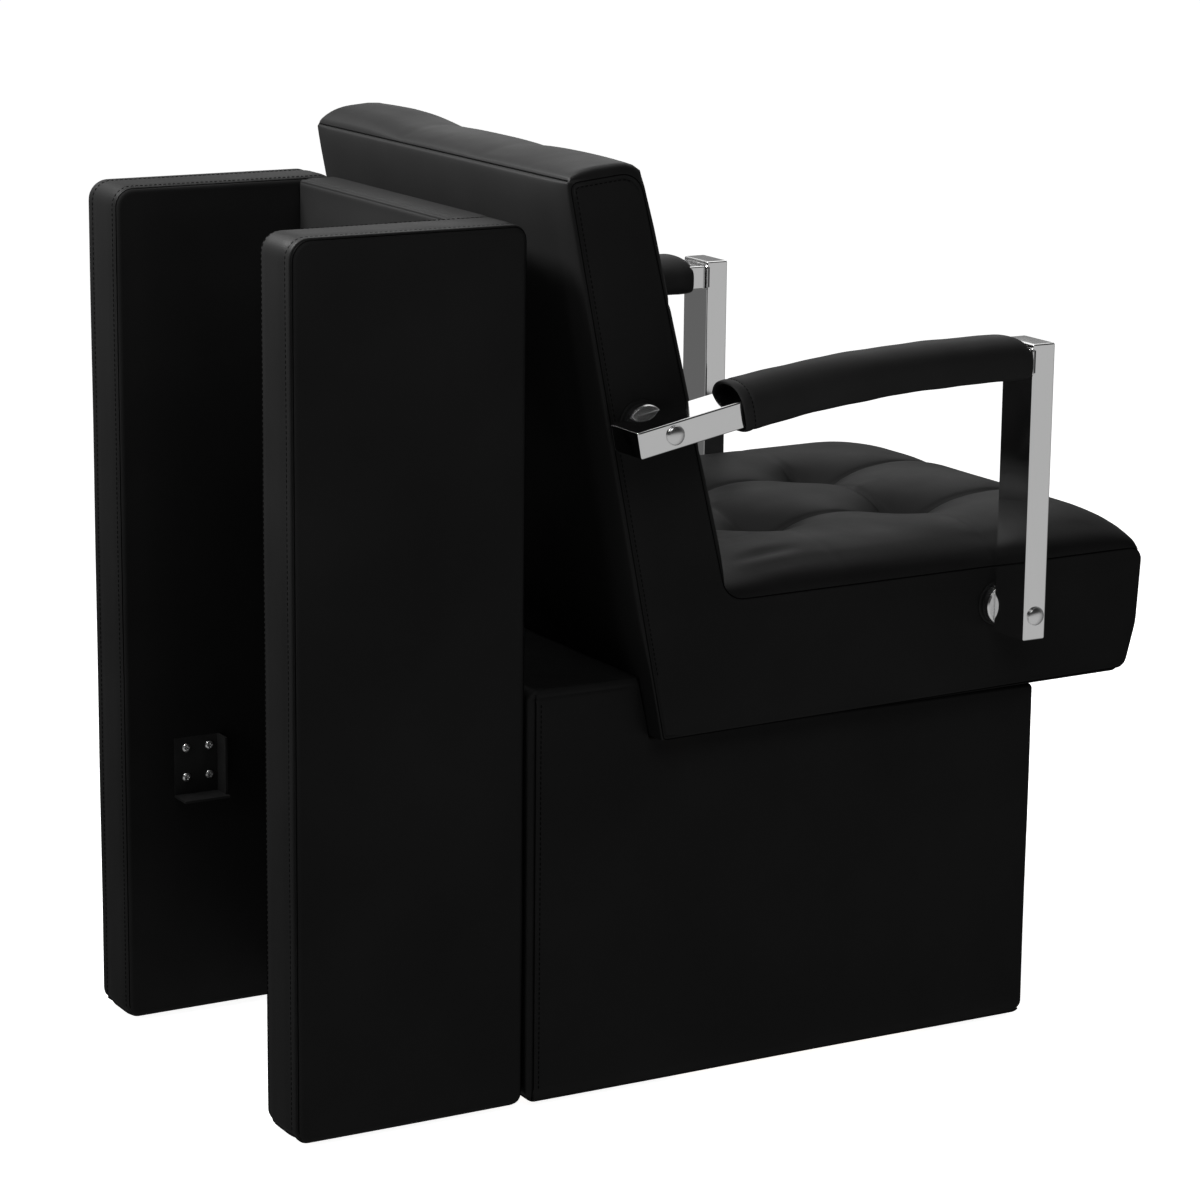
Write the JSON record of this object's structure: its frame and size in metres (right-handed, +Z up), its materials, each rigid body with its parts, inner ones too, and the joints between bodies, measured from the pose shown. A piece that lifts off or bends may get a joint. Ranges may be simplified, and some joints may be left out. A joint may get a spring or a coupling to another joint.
{
  "type": "hood dryer chair",
  "caption": "Salon hood-dryer chair: black tufted seat and back on a box base, chrome arms with vinyl sleeves and a padded rear housing that the dryer stands in.",
  "frame": {"origin": "on the floor, below the middle of the bounding box", "axes": "+Z up; +Y towards the rear, where the dryer stands; the sitter faces -Y; +X to the sitter's left"},
  "size_m": [0.704, 0.985, 0.9614],
  "materials": {
    "black_vinyl": "satin",
    "plywood": "matte",
    "foam": "matte",
    "chrome": "polished",
    "black_steel": "satin",
    "zinc": "satin",
    "black_plastic": "matte"
  },
  "bodies": {
    "chair": {"arm_bar_left": "chrome", "arm_bar_right": "chrome", "arm_bolt_front_left": "chrome", "arm_bolt_front_right": "chrome", "arm_bolt_rear_left": "chrome", "arm_bolt_rear_right": "chrome", "arm_foam_left": "foam", "arm_foam_right": "foam", "arm_sleeve_left": "black_vinyl", "arm_sleeve_right": "black_vinyl", "arm_spacer_front_left": "chrome", "arm_spacer_front_right": "chrome", "arm_spacer_rear_left": "chrome", "arm_spacer_rear_right": "chrome", "back_cover": "black_vinyl", "back_foam": "foam", "back_frame": "plywood", "back_rear_panel": "black_vinyl", "base_bottom_board": "plywood", "base_carcass": "plywood", "base_cover": "black_vinyl", "bracket_screw_lower_front_left": "zinc", "bracket_screw_lower_front_right": "zinc", "bracket_screw_lower_rear_left": "zinc", "bracket_screw_lower_rear_right": "zinc", "bracket_screw_upper_front_left": "zinc", "bracket_screw_upper_front_right": "zinc", "bracket_screw_upper_rear_left": "zinc", "bracket_screw_upper_rear_right": "zinc", "dryer_bracket_left": "black_steel", "dryer_bracket_right": "black_steel", "foot_insert_front_left": "zinc", "foot_insert_front_right": "zinc", "foot_insert_rear_left": "zinc", "foot_insert_rear_right": "zinc", "housing_cross_cover": "black_vinyl", "housing_cross_frame": "plywood", "housing_wing_cover_left": "black_vinyl", "housing_wing_cover_right": "black_vinyl", "housing_wing_frame_left": "plywood", "housing_wing_frame_right": "plywood", "joining_bolt_lower_left": "zinc", "joining_bolt_lower_right": "zinc", "joining_bolt_upper_left": "zinc", "joining_bolt_upper_right": "zinc", "seat_cover": "black_vinyl", "seat_foam": "foam", "seat_frame": "plywood", "side_panel_left": "black_vinyl", "side_panel_right": "black_vinyl", "spacer_ring_front_left": "black_plastic", "spacer_ring_front_right": "black_plastic", "spacer_ring_rear_left": "black_plastic", "spacer_ring_rear_right": "black_plastic"},
    "foot_front_left": {"levelling_foot_front_left": "black_plastic"},
    "foot_front_right": {"levelling_foot_front_right": "black_plastic"},
    "foot_rear_left": {"levelling_foot_rear_left": "black_plastic"},
    "foot_rear_right": {"levelling_foot_rear_right": "black_plastic"}
  },
  "joints": [
    {"name": "foot_screw_front_left", "type": "slide", "parent": "chair", "child": "foot_front_left", "axis": [0, 0, -1], "range_m": [0, 0.01]},
    {"name": "foot_screw_front_right", "type": "slide", "parent": "chair", "child": "foot_front_right", "axis": [0, 0, -1], "range_m": [0, 0.01]},
    {"name": "foot_screw_rear_left", "type": "slide", "parent": "chair", "child": "foot_rear_left", "axis": [0, 0, -1], "range_m": [0, 0.01]},
    {"name": "foot_screw_rear_right", "type": "slide", "parent": "chair", "child": "foot_rear_right", "axis": [0, 0, -1], "range_m": [0, 0.01]}
  ]
}
